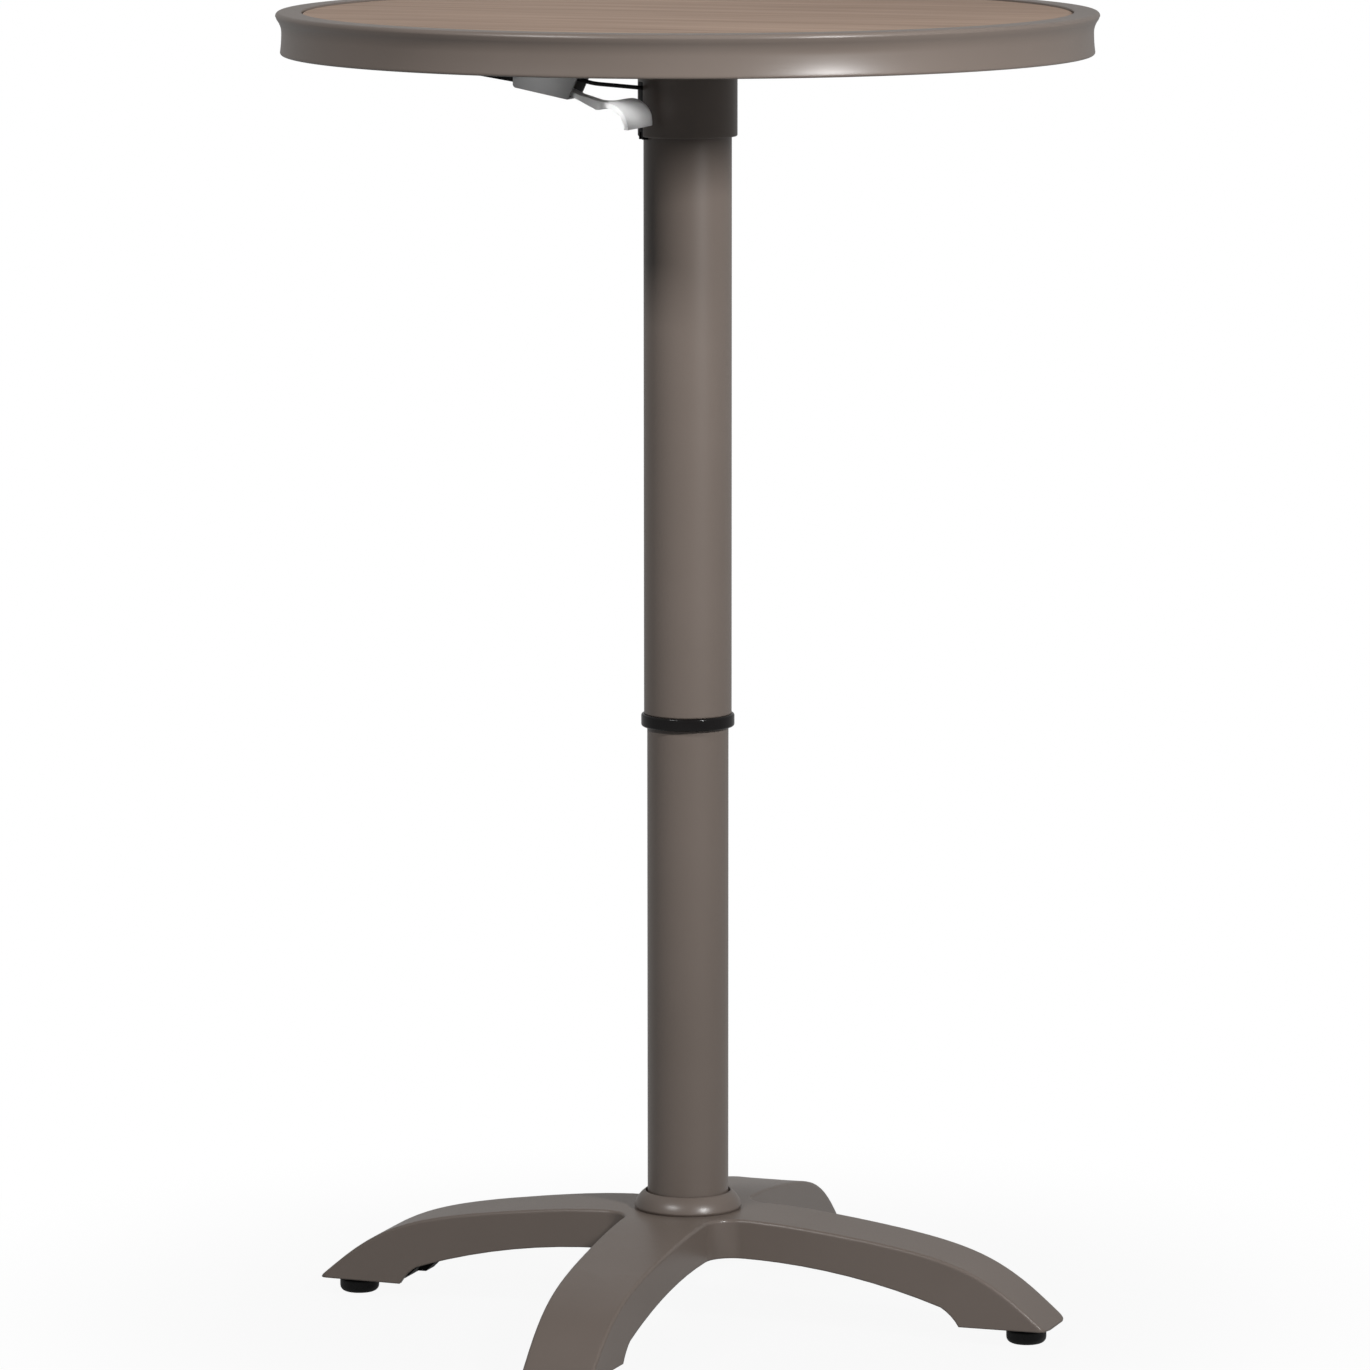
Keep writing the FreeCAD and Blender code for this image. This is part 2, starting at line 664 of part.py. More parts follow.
abutment = block(abutment_x, abutment_x + ferrule_length, wire_y - abutment_half, base_far,
                 abutment_z - 1.0, roof_z)
lever_base = lever_base.fuse(abutment)
lever_pin = cross_pin(pivot_radius, pivot_x, base_near, base_far, pivot_z)
lever_base = lever_base.cut(lever_pin).removeSplitter()
base_screw_depth = bar_wall + 4.0
lever_screws = []
for x in (base_left_x + base_screw_margin, cover_left_x - cover_screw_margin):
    recess_z = bar_under_z - base_screw_inset
    spot = V(x, lever_line_y, recess_z)
    fastener = screw(m4_radius, base_screw_inset + base_screw_depth, spot, Z)
    access = cylinder(m4_radius * screw_head_ratio + 0.4, base_toe_z - 8.0, recess_z, x, lever_line_y)
    hole = cylinder(m4_radius, recess_z, bar_under_z + base_screw_depth, x, lever_line_y)
    lever_base = lever_base.cut(access).cut(hole)
    bars[-1] = bars[-1].cut(hole)
    lever_screws.append(fastener)

# Grey cover: a trough over the base, open above and at its slanted right end
def cover_outline(inset, y):
    left = cover_left_x + inset
    heel_z = cover_heel_z + inset
    toe_z = cover_toe_z + inset
    top_z = bar_under_z if inset == 0 else bar_under_z + 1.0
    slant_x = cover_heel_x + cover_slant * (top_z - cover_heel_z)
    heel_x = cover_heel_x + cover_slant * (heel_z - cover_heel_z)
    reach = 0 if inset == 0 else 10.0
    return polygon([
        V(left, y, top_z), V(left, y, toe_z), V(heel_x + reach, y, heel_z - 0.2 * reach),
        V(slant_x + reach, y, top_z)])


cover = cover_outline(0, cover_near).extrude(V(0, cover_width, 0))
cover_rounds = [e for e in cover.Edges
                if e.BoundBox.YLength > cover_width - 0.1 and e.BoundBox.XMax < cover_left_x + 0.1
                and e.BoundBox.ZMax < cover_toe_z + 0.1]
cover = cover.makeFillet(cover_corner, cover_rounds)
trough = cover_outline(cover_wall, cover_near + cover_wall)
trough = trough.extrude(V(0, cover_width - 2 * cover_wall, 0))
cover = cover.cut(trough)
cover = cover.cut(block(cover_left_x - 1.0, cover_left_x + cover_wall + 1.0, base_near - base_gap,
                        base_far + base_gap, roof_z - base_gap, bar_under_z + 1.0))

# Lever: an arm out of the cover that sweeps up and over into a wide paddle for the fingers
def lever_side(y):
    """Side view of the lever; each point is a share of its reach and drop from the pivot."""
    def at(along, down):
        return V(pivot_x + along * lever_reach, y, pivot_z - down * lever_drop)
    half = V(0, 0, lever_thick / 2)
    root_top = at(0, 0) + half
    root_under = at(0, 0) - half
    mouth = at(0.3856, 0.3164)
    dip = at(0.5784, 0.4343)
    rise = at(0.6941, 0.4531)
    hump = at(0.7905, 0.4290)
    tip = at(1, 1)
    under_tip = at(0.9692, 0.9866)
    under_hump = at(0.7841, 0.5416)
    under_rise = at(0.6812, 0.5791)
    under_dip = at(0.5707, 0.6247)
    under_mouth = mouth - V(0.2 * lever_thick, 0, lever_thick)
    return face_of([
        line(root_top, mouth), line(mouth, dip),
        arc(dip, at(0.6427, 0.4531), rise), arc(rise, at(0.7391, 0.4370), hump),
        arc(hump, at(0.9216, 0.5576), tip), line(tip, under_tip),
        arc(under_tip, at(0.8869, 0.6381), under_hump),
        arc(under_hump, at(0.7326, 0.5469), under_rise),
        arc(under_rise, at(0.6234, 0.6193), under_dip),
        line(under_dip, under_mouth), line(under_mouth, root_under), line(root_under, root_top)])


def lever_plan():
    root_x = pivot_x - horn_half / 2
    neck_x = pivot_x + 0.5784 * lever_reach
    wing_x = pivot_x + 0.707 * lever_reach
    tip_x = pivot_x + 1.054 * lever_reach
    half_pad = paddle_width / 2
    cut = paddle_corner
    arm_shift = arm_line_y - lever_line_y
    arm_sides = {s: arm_shift + s * arm_width / 2 for s in (1, -1)}
    edges = [line(V(root_x, arm_sides[-1], 0), V(root_x, arm_sides[1], 0)),
             line(V(tip_x, cut - half_pad, 0), V(tip_x, half_pad - cut, 0))]
    for s in (1, -1):
        arm_side = arm_sides[s]
        wing = V(wing_x, s * (half_pad - cut), 0)
        flare_mid = V(wing_x - 0.031 * lever_reach, arm_side + 0.32 * (wing.y - arm_side), 0)
        edges.append(line(V(root_x, arm_side, 0), V(neck_x, arm_side, 0)))
        edges.append(arc(V(neck_x, arm_side, 0), flare_mid, wing))
        edges.append(arc(wing, V(wing_x + 0.293 * cut, s * (half_pad - 0.293 * cut), 0),
                         V(wing_x + cut, s * half_pad, 0)))
        edges.append(line(V(wing_x + cut, s * half_pad, 0), V(tip_x - cut, s * half_pad, 0)))
        edges.append(arc(V(tip_x - cut, s * half_pad, 0),
                         V(tip_x - 0.293 * cut, s * (half_pad - 0.293 * cut), 0),
                         V(tip_x, s * (half_pad - cut), 0)))
    return face_of(edges)


lever_low_z = pivot_z - 2 * lever_drop
plan = lever_plan()
plan.translate(V(0, lever_line_y, lever_low_z))
lever = lever_side(lever_line_y - paddle_width).extrude(V(0, 2 * paddle_width, 0))
lever = lever.common(plan.extrude(V(0, 0, 4 * lever_drop)))
hub_near = base_near + ear_thick + hub_side_gap
hub_far = base_far - ear_thick - hub_side_gap
lever = lever.fuse(cross_pin(lever_hub_radius, pivot_x, hub_near, hub_far, pivot_z))
horn_z = pivot_z + horn_rise
nipple_near = wire_y - nipple_half
nipple_far = wire_y + nipple_half
horn = block(pivot_x - horn_half, pivot_x + horn_half, nipple_near, nipple_far, pivot_z, horn_z)
horn = horn.fuse(cross_pin(nipple_radius + 1.2, pivot_x, nipple_near, nipple_far, horn_z))
lever = lever.fuse(horn)
lever_nipple = cross_pin(nipple_radius, pivot_x, nipple_near, nipple_far, horn_z)
lever = lever.cut(lever_nipple)
lever = lever.cut(cross_pin(pivot_radius + running_clearance, pivot_x, hub_near, hub_far, pivot_z))
lever = lever.removeSplitter()

# Cable from the lever base through the slot to the release head
slot_out = V(math.cos(math.radians(slot_angle)), math.sin(math.radians(slot_angle)), 0)
cable_start = V(abutment_x + ferrule_length, wire_y, abutment_z)
cable_turn = cable_start + V(cable_lead, cable_side, -cable_dip)
cable_end = slot_out * sheath_end_q + Z * nipple_z
first_run = cable_turn - cable_start
second_run = cable_end - cable_turn
turn_angle = first_run.getAngle(second_run)
bend_radius = 0.45 * min(first_run.Length, second_run.Length) / math.tan(turn_angle / 2)
setback = bend_radius * math.tan(turn_angle / 2)
into = V(first_run).normalize()
away = V(second_run).normalize()
bend_in = cable_turn - into * setback
bend_out = cable_turn + away * setback
inward = (away - into).normalize()
bend_middle = cable_turn + inward * (bend_radius / math.cos(turn_angle / 2) - bend_radius)
cable_path = Part.Wire([
    line(cable_start, bend_in), arc(bend_in, bend_middle, bend_out), line(bend_out, cable_end)])


def along_cable(radius):
    section = Part.Wire(Part.makeCircle(radius, cable_start, into))
    return cable_path.makePipeShell([section], True, False)


sheath_bore = wire_radius + 0.15
cable_length = cable_path.Length
cable = along_cable(cable_radius)
print("cable bend radius", round(bend_radius, 1), "length", round(cable_length, 1))
print("cable volume ratio", round(cable.Volume / (math.pi * cable_radius ** 2 * cable_length), 4))
sheath = cable.cut(along_cable(sheath_bore))
wire = along_cable(wire_radius)


def ferrule(end, direction):
    """Metal cap on the sheath's end, bored for the wire."""
    cap = Part.makeCylinder(ferrule_radius, ferrule_length / 2, end, direction)
    return cap.cut(Part.makeCylinder(wire_radius, ferrule_length, end, direction))


ferrules = [ferrule(cable_start, into.negative()), to_slot(ferrule(
    V(sheath_end_q - 0.4, 0, nipple_z), X.negative()))]
seat_start = cable_start - into * (ferrule_length / 2)
lever_base = lever_base.cut(Part.makeCylinder(ferrule_radius, ferrule_length, seat_start, into))
lever_base = lever_base.cut(
    Part.makeCylinder(wire_radius + wire_clearance, 2 * ferrule_length, cable_start, into.negative()))
grommet = grommet.cut(Part.makeCylinder(cable_radius + 0.3, second_run.Length, cable_turn, away))

# Foot plugs fill the leg ends; a threaded bush in each takes the levelling foot
plug_gap = 0.2
plug_face_z = leg_end_z + 0.5
plug_body = leg(leg_side_wall + plug_gap, leg_top_wall + plug_gap, -1.0, cavity_reach - plug_gap)
plug_body = plug_body.common(
    block(leg_heel - leg_heel_rise, leg_reach, -leg_width_hub, leg_width_hub, plug_face_z, hub_top_z))
heel_cut = polygon([
    V(0, -leg_width_hub, 0), V(leg_heel + leg_heel_rise, -leg_width_hub, 0),
    V(leg_heel - 4 * leg_heel_rise, -leg_width_hub, 5 * leg_heel_rise),
    V(0, -leg_width_hub, 5 * leg_heel_rise)]).extrude(V(0, 2 * leg_width_hub, 0))
plug_body = plug_body.cut(heel_cut)
insert_top = plug_face_z + insert_length
foot_insert = cylinder(insert_radius, plug_face_z, insert_top, foot_circle)
thread_bore = cylinder(stud_radius + stud_clearance, plug_face_z - 1.0, insert_top + 3.2, foot_circle)
plug_body = plug_body.cut(foot_insert).cut(thread_bore)
foot_insert = foot_insert.cut(thread_bore)
foot_pad = cylinder(foot_radius, 0, foot_height, foot_circle)
foot_edges = [e for e in foot_pad.Edges if e.BoundBox.ZLength < 0.01]
foot_pad = foot_pad.makeFillet(foot_round, foot_edges)
stud_foot = foot_height - 8.0
foot_stud = cylinder(stud_radius, stud_foot, stud_foot + stud_length, foot_circle)
foot_pad = foot_pad.cut(foot_stud)

os.makedirs("parts", exist_ok=True)
save(casting, "base_casting")
save(turned(collar_face), "base_collar")
save(lower_tube, "lower_tube")
save(tube_plug, "tube_plug")
save_group(quarter_copies(base_screw, 45), "base_screws")
save(tube_top_bush, "tube_top_bush")
save(thrust_washer, "thrust_washer")
save(cylinder_nut, "cylinder_nut")
save(spring_body, "gas_spring_cylinder")
save(gland, "cylinder_gland")
save(rod, "piston_rod")
save(piston, "piston")
save(release_pin, "release_pin")
save(upper_tube, "upper_tube")
save(guide_ring, "guide_ring")
save(head, "column_head")
save(grommet, "slot_grommet")
save_group(set_screws, "tube_set_screws")
save(to_slot(release_head), "release_head")
save_group(release_screws, "release_head_screws")
save(to_slot(crank_pin), "arm_pin")
save(to_slot(crank), "release_arm")
save(to_slot(crank_nipple), "arm_nipple")
save(plate, "mounting_plate")
save_group(plate_screws, "plate_screws")
save_group(head_screws, "head_screws")
save(bars[-1], "crossbar_front")
save(bars[1], "crossbar_back")
save_group(strips, "bar_strips")
save(rim, "rim_frame")
save(panel, "top_panel")
save_group(panel_screws, "panel_screws")
save(lever_base, "lever_base")
save(cover, "lever_cover")
save_group(lever_screws, "lever_base_screws")
save(lever_pin, "lever_pin")
save(lever, "release_lever")
save(lever_nipple, "lever_nipple")
save(sheath, "cable_sheath")
save(wire, "cable_wire")
save_group(ferrules, "cable_ferrules")
save_group(quarter_copies(foot_insert), "foot_inserts")
for number, shape in enumerate(quarter_copies(plug_body), 1):
    save(shape, "foot_plug_%d" % number)
for number, shape in enumerate(quarter_copies(foot_pad), 1):
    save(shape, "foot_pad_%d" % number)
for number, shape in enumerate(quarter_copies(foot_stud), 1):
    save(shape, "foot_stud_%d" % number)
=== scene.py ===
import bmesh
import bpy
import json
import math
from mathutils import Matrix, Vector


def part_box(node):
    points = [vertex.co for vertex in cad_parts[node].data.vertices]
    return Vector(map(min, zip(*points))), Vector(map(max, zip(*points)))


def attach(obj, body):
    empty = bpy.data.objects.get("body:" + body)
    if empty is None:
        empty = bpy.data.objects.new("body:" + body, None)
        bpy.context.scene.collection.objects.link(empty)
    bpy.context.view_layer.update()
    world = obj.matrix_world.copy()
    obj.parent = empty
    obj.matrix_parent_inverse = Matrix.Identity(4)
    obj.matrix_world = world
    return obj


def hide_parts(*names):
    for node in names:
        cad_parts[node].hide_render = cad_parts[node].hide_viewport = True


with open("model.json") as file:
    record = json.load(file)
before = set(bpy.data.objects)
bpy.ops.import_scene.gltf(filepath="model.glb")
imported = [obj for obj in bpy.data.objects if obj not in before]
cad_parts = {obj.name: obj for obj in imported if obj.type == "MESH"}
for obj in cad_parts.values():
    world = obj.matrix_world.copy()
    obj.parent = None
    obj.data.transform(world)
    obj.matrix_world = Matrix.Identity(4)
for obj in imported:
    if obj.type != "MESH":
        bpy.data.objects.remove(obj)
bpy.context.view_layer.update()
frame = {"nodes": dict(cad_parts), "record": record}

# Base casting: four arched legs and their hub come out of one mould as a U-section shell.
# It is shot-blasted and powder coated in satin taupe, which leaves a fine even grain.
# The column stands in the hub and the feet screw into plugs in the leg ends.
grain_group = bpy.data.node_groups.new("surface_grain", "ShaderNodeTree")
grain_group.interface.new_socket("Place", in_out="INPUT", socket_type="NodeSocketVector")
grain_group.interface.new_socket("Fine Scale", in_out="INPUT", socket_type="NodeSocketFloat")
grain_group.interface.new_socket("Broad Scale", in_out="INPUT", socket_type="NodeSocketFloat")
grain_group.interface.new_socket("Fine", in_out="OUTPUT", socket_type="NodeSocketFloat")
grain_group.interface.new_socket("Broad", in_out="OUTPUT", socket_type="NodeSocketFloat")
group_in = grain_group.nodes.new("NodeGroupInput")
group_out = grain_group.nodes.new("NodeGroupOutput")
for label, detail in (("Fine", 2.0), ("Broad", 4.0)):
    noise = grain_group.nodes.new("ShaderNodeTexNoise")
    noise.inputs["Detail"].default_value = detail
    grain_group.links.new(group_in.outputs["Place"], noise.inputs["Vector"])
    grain_group.links.new(group_in.outputs[label + " Scale"], noise.inputs["Scale"])
    grain_group.links.new(noise.outputs[0], group_out.inputs[label])
noise_low = 0.3
noise_high = 0.7
gloss_swing = 0.03
grain_depth = 0.0002
edge_samples = 6


def surface(name, dark, light, rough, fine, broad, bump, metallic=0.0, shine=0.5, edge=0.0):
    """Material whose colour drifts between two tones and whose gloss and relief carry a fine grain."""
    material = bpy.data.materials.new(name)
    material.use_nodes = True
    nodes = material.node_tree.nodes
    links = material.node_tree.links
    shader = nodes["Principled BSDF"]
    shader.inputs["Metallic"].default_value = metallic
    shader.inputs["Specular IOR Level"].default_value = shine
    place = nodes.new("ShaderNodeTexCoord")
    grain = nodes.new("ShaderNodeGroup")
    grain.node_tree = grain_group
    grain.inputs["Fine Scale"].default_value = fine
    grain.inputs["Broad Scale"].default_value = broad
    links.new(place.outputs["Object"], grain.inputs["Place"])
    tone = nodes.new("ShaderNodeValToRGB")
    tone.color_ramp.elements[0].position = noise_low
    tone.color_ramp.elements[0].color = (*dark, 1.0)
    tone.color_ramp.elements[1].position = noise_high
    tone.color_ramp.elements[1].color = (*light, 1.0)
    links.new(grain.outputs["Broad"], tone.inputs["Fac"])
    links.new(tone.outputs["Color"], shader.inputs["Base Color"])
    gloss = nodes.new("ShaderNodeMapRange")
    gloss.inputs["From Min"].default_value = noise_low
    gloss.inputs["From Max"].default_value = noise_high
    gloss.inputs["To Min"].default_value = rough - gloss_swing
    gloss.inputs["To Max"].default_value = rough + gloss_swing
    links.new(grain.outputs["Fine"], gloss.inputs["Value"])
    links.new(gloss.outputs["Result"], shader.inputs["Roughness"])
    relief = nodes.new("ShaderNodeBump")
    relief.inputs["Strength"].default_value = bump
    relief.inputs["Distance"].default_value = grain_depth
    links.new(grain.outputs["Fine"], relief.inputs["Height"])
    links.new(relief.outputs["Normal"], shader.inputs["Normal"])
    if edge:
        soft_edge = nodes.new("ShaderNodeBevel")
        soft_edge.samples = edge_samples
        soft_edge.inputs["Radius"].default_value = edge
        links.new(soft_edge.outputs["Normal"], relief.inputs["Normal"])
    return material


def add_piece(bm, name, body, material, slot_name, *nodes, crease=35.0):
    """Shaded piece from a mesh under construction; it rides on a body and stands for its nodes."""
    bmesh.ops.recalc_face_normals(bm, faces=bm.faces)
    limit = math.radians(crease)
    for face in bm.faces:
        face.smooth = True
    for edge in bm.edges:
        edge.smooth = len(edge.link_faces) == 2 and edge.calc_face_angle(0.0) < limit
    mesh = bpy.data.meshes.new(name)
    bm.to_mesh(mesh)
    bm.free()
    mesh.materials.append(material)
    piece = bpy.data.objects.new(name, mesh)
    bpy.context.scene.collection.objects.link(piece)
    shading = piece.modifiers.new("even_shading", "WEIGHTED_NORMAL")
    shading.keep_sharp = True
    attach(piece, body)
    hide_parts(*nodes)
    return piece


weld = 0.00001
flat_angle = math.radians(0.3)
sharp_angle = math.radians(40.0)


def merged_copy(node, edge_round=0.0):
    """Copy of a node's mesh, its triangles joined, flat faces made whole and sharp edges eased."""
    source = frame["nodes"][node]
    bm = bmesh.new()
    bm.from_mesh(source.data)
    bm.transform(source.matrix_world)
    bmesh.ops.remove_doubles(bm, verts=bm.verts, dist=weld)
    bmesh.ops.dissolve_limit(bm, angle_limit=flat_angle, verts=bm.verts, edges=bm.edges)
    if edge_round:
        sharp = [edge for edge in bm.edges
                 if len(edge.link_faces) == 2 and edge.calc_face_angle(0.0) > sharp_angle]
        bmesh.ops.bevel(bm, geom=sharp, offset=edge_round, offset_type="OFFSET", affect="EDGES",
                        segments=2, profile=0.5, material=-1, clamp_overlap=True)
    return bm


taupe_coat = surface("taupe_coat", dark=(0.148, 0.120, 0.102), light=(0.167, 0.136, 0.117),
                     rough=0.32, fine=900.0, broad=6.0, bump=0.025, shine=0.46, edge=0.002)
add_piece(merged_copy("base_casting"), "base_casting_shell", "base", taupe_coat, "powder_coat",
          "base_casting")

# Column foot: a pressed trim ring with a rounded shoulder covers the joint of tube and hub.
# The lower tube is drawn steel with the same coat; a welded disc in its foot takes the screws.


def with_rounds(corners, steps=5):
    """Closed profile from (radius, height, round) corners."""
    points = []
    for i, (r, z, size) in enumerate(corners):
        here = Vector((r, z))
        if size == 0:
            points.append((r, z))
            continue
        before = (Vector(corners[i - 1][:2]) - here).normalized()
        after = (Vector(corners[(i + 1) % len(corners)][:2]) - here).normalized()
        half = before.angle(after) / 2
        centre = here + (before + after).normalized() * (size / math.sin(half))
        start = here + before * (size / math.tan(half)) - centre
        end = here + after * (size / math.tan(half)) - centre
        points += [tuple(centre + start.slerp(end, k / steps) * start.length) for k in range(steps + 1)]
    return points


def arc_through(a, b, c, steps):
    """Points from a to c on the circle through b."""
    a, b, c = Vector(a), Vector(b), Vector(c)
    u, v = b - a, c - a
    cross = 2 * (u.x * v.y - u.y * v.x)
    centre = a + Vector((v.y * u.length_squared - u.y * v.length_squared,
                         u.x * v.length_squared - v.x * u.length_squared)) / cross
    start, end = a - centre, c - centre
    return [tuple(centre + start.slerp(end, k / steps) * start.length) for k in range(steps + 1)]


seam = 0.000001


def lathe(profile, steps, closed=True):
    """Solid of revolution about the column from a profile of radii and heights."""
    bm = bmesh.new()
    verts = [bm.verts.new((r, 0.0, z)) for r, z in profile]
    pairs = list(zip(verts, verts[1:]))
    if closed:
        pairs.append((verts[-1], verts[0]))
    edges = [bm.edges.new(pair) for pair in pairs]
    bmesh.ops.spin(bm, geom=verts + edges, cent=(0, 0, 0), axis=(0, 0, 1), dvec=(0, 0, 0),
                   angle=2 * math.pi, steps=steps, use_merge=True, use_duplicate=False)
    bmesh.ops.remove_doubles(bm, verts=bm.verts, dist=seam)
    return bm


collar_low, collar_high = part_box("base_collar")
tube_low, tube_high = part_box("lower_tube")
tube_wall = 0.002
tube_ease = 0.0004
tube_steps = 128
snug = 0.0001
gap_depth = 0.004
gap_foot = 0.0014
gap_mouth = 0.0016
gap_ease = 0.0005
gap_lip = 0.0003
tube_radius = tube_high.x
tube_bore = tube_radius - tube_wall
collar_width = collar_high.x - tube_radius
collar_height = collar_high.z - collar_low.z
shoulder_start = (tube_radius + 0.19 * collar_width, collar_high.z)
shoulder_middle = (tube_radius + 0.67 * collar_width, collar_high.z - 0.34 * collar_height)
shoulder_end = (collar_high.x, collar_low.z + 0.14 * collar_height)
collar_foot = (collar_high.x - 0.1 * collar_width, collar_low.z)
collar_profile = [(tube_radius + snug, collar_low.z), (tube_radius + snug, collar_high.z - gap_depth),
                  (tube_radius + gap_foot, collar_high.z - gap_depth + gap_ease),
                  (tube_radius + gap_mouth, collar_high.z - gap_lip)]
collar_profile += arc_through(shoulder_start, shoulder_middle, shoulder_end, 10) + [collar_foot]
add_piece(lathe(collar_profile, tube_steps), "base_collar_ring", "base", taupe_coat, "powder_coat",
          "base_collar")
tube_profile = with_rounds([(tube_bore, tube_low.z, 0), (tube_bore, tube_high.z, tube_ease),
                            (tube_radius, tube_high.z, tube_ease), (tube_radius, tube_low.z, 0)])
add_piece(lathe(tube_profile, tube_steps), "lower_tube_skin", "base", taupe_coat, "powder_coat",
          "lower_tube")
screw_ease = 0.0003
same_level = 0.0002
head_share = 0.3
socket_share = 0.5
socket_depth = 0.0018


def with_sockets(node, facing):
    """Copy of a screw node with eased edges and a hexagon socket pressed into every head."""
    bm = merged_copy(node, screw_ease)
    bm.normal_update()
    facing = Vector(facing)
    ends = [face for face in bm.faces if face.normal.dot(facing) > 0.99]
    outermost = max(face.calc_center_median().dot(facing) for face in ends)
    for face in ends:
        centre = face.calc_center_median()
        if centre.dot(facing) < outermost - same_level:
            continue
        radius = max((vert.co - centre).length for vert in face.verts)
        bmesh.ops.inset_individual(bm, faces=[face], thickness=head_share * radius, use_even_offset=True)
        for vert in face.verts:
            arm = vert.co - centre
            corner = math.atan2(arm.y, arm.x) % (math.pi / 3) - math.pi / 6
            vert.co = centre + arm.normalized() * (socket_share * radius / math.cos(corner))
        pressed = bmesh.ops.extrude_discrete_faces(bm, faces=[face])["faces"][0]
        bmesh.ops.translate(bm, vec=facing * -socket_depth, verts=pressed.verts)
    return bm


zinc_plate = surface("zinc_plate", dark=(0.46, 0.46, 0.47), light=(0.58, 0.58, 0.60),
                     rough=0.34, fine=700.0, broad=60.0, bump=0.1, metallic=1.0)
add_piece(with_sockets("base_screws", (0, 0, -1)), "base_screws_socket", "base", zinc_plate, "zinc_steel",
          "base_screws")

# Feet: black moulded plugs with a short tongue close the leg ends, and a brass bush in each
# takes a zinc stud. The stud carries a round plastic pad that turns by hand to level the table.
black_plastic = surface("black_plastic", dark=(0.006, 0.006, 0.006), light=(0.010, 0.010, 0.011),
                        rough=0.5, fine=1100.0, broad=40.0, bump=0.1, shine=0.08)
pad_plastic = surface("pad_plastic", dark=(0.010, 0.010, 0.010), light=(0.017, 0.017, 0.017),
                      rough=0.5, fine=1300.0, broad=50.0, bump=0.3, shine=0.25)
pad_low, pad_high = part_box("foot_pad_1")
stud_low, stud_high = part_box("foot_stud_1")
pad_radius = (pad_high.x - pad_low.x) / 2
stud_radius = (stud_high.x - stud_low.x) / 2
foot_circle = (pad_low.x + pad_high.x) / 2
pad_foot_round = 0.005
pad_top_round = 0.003
pad_bore_round = 0.0003
pad_steps = 64
pad_profile = with_rounds([(0.0, pad_low.z, 0), (pad_radius, pad_low.z, pad_foot_round),
                           (pad_radius, pad_high.z, pad_top_round),
                           (stud_radius, pad_high.z, pad_bore_round),
                           (stud_radius, stud_low.z, 0), (0.0, stud_low.z, 0)])
thread_pitch = 0.00125
thread_root = 0.87 * stud_radius
stud_foot = 0.9 * stud_radius
stud_tip = 0.85 * stud_radius
stud_steps = 32
stud_profile = [(0.0, stud_low.z), (stud_foot, stud_low.z)]
for turn in range(int((stud_high.z - stud_low.z) / thread_pitch) - 1):
    crest_z = stud_low.z + (turn + 0.5) * thread_pitch
    stud_profile += [(stud_radius, crest_z), (thread_root, crest_z + thread_pitch / 2)]
stud_profile += [(stud_tip, stud_high.z), (0.0, stud_high.z)]
plug_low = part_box("foot_plug_1")[0]
plug_ease = 0.0006
heel_foot = plug_low.x + 0.0155
heel_top = plug_low.z + 0.001
heel_set = 0.003
tongue_root = plug_low.x + 0.0079
tongue_length = 0.0077
tongue_half = 0.009
thin_cut = 0.0001
for number in range(1, 5):
    angle = math.radians(90 * (number - 1))
    outward = Vector((math.cos(angle), math.sin(angle), 0.0))
    across = Vector((-math.sin(angle), math.cos(angle), 0.0))
    spot = Matrix.Translation(outward * foot_circle)
    plug = merged_copy("foot_plug_%d" % number, plug_ease)
    for way, place in ((outward, tongue_root), (outward, tongue_root - thin_cut),
                       (across, tongue_half), (across, tongue_half + thin_cut),
                       (across, -tongue_half), (across, -tongue_half - thin_cut)):
        bmesh.ops.bisect_plane(plug, geom=[*plug.verts, *plug.edges, *plug.faces], dist=weld,
                               plane_co=way * place, plane_no=way)
    tongue = [vert for vert in plug.verts if vert.co.dot(outward) < tongue_root - thin_cut / 2
              and abs(vert.co.dot(across)) < tongue_half + thin_cut / 2]
    heel = [vert for vert in plug.verts if vert.co.dot(outward) < heel_foot and vert.co.z < heel_top]
    bmesh.ops.translate(plug, vec=outward * -tongue_length, verts=tongue)
    bmesh.ops.translate(plug, vec=outward * heel_set, verts=heel)
    add_piece(plug, "foot_plug_%d_skin" % number, "base", black_plastic, "black_plastic",
              "foot_plug_%d" % number)
    pad = lathe(pad_profile, pad_steps, closed=False)
    pad.transform(spot)
    add_piece(pad, "foot_pad_%d_skin" % number, "foot_%d" % number, pad_plastic, "foot_plastic",
              "foot_pad_%d" % number)
    stud = lathe(stud_profile, stud_steps, closed=False)
    stud.transform(spot)
    add_piece(stud, "foot_stud_%d_thread" % number, "foot_%d" % number, zinc_plate, "zinc_steel",
              "foot_stud_%d" % number)

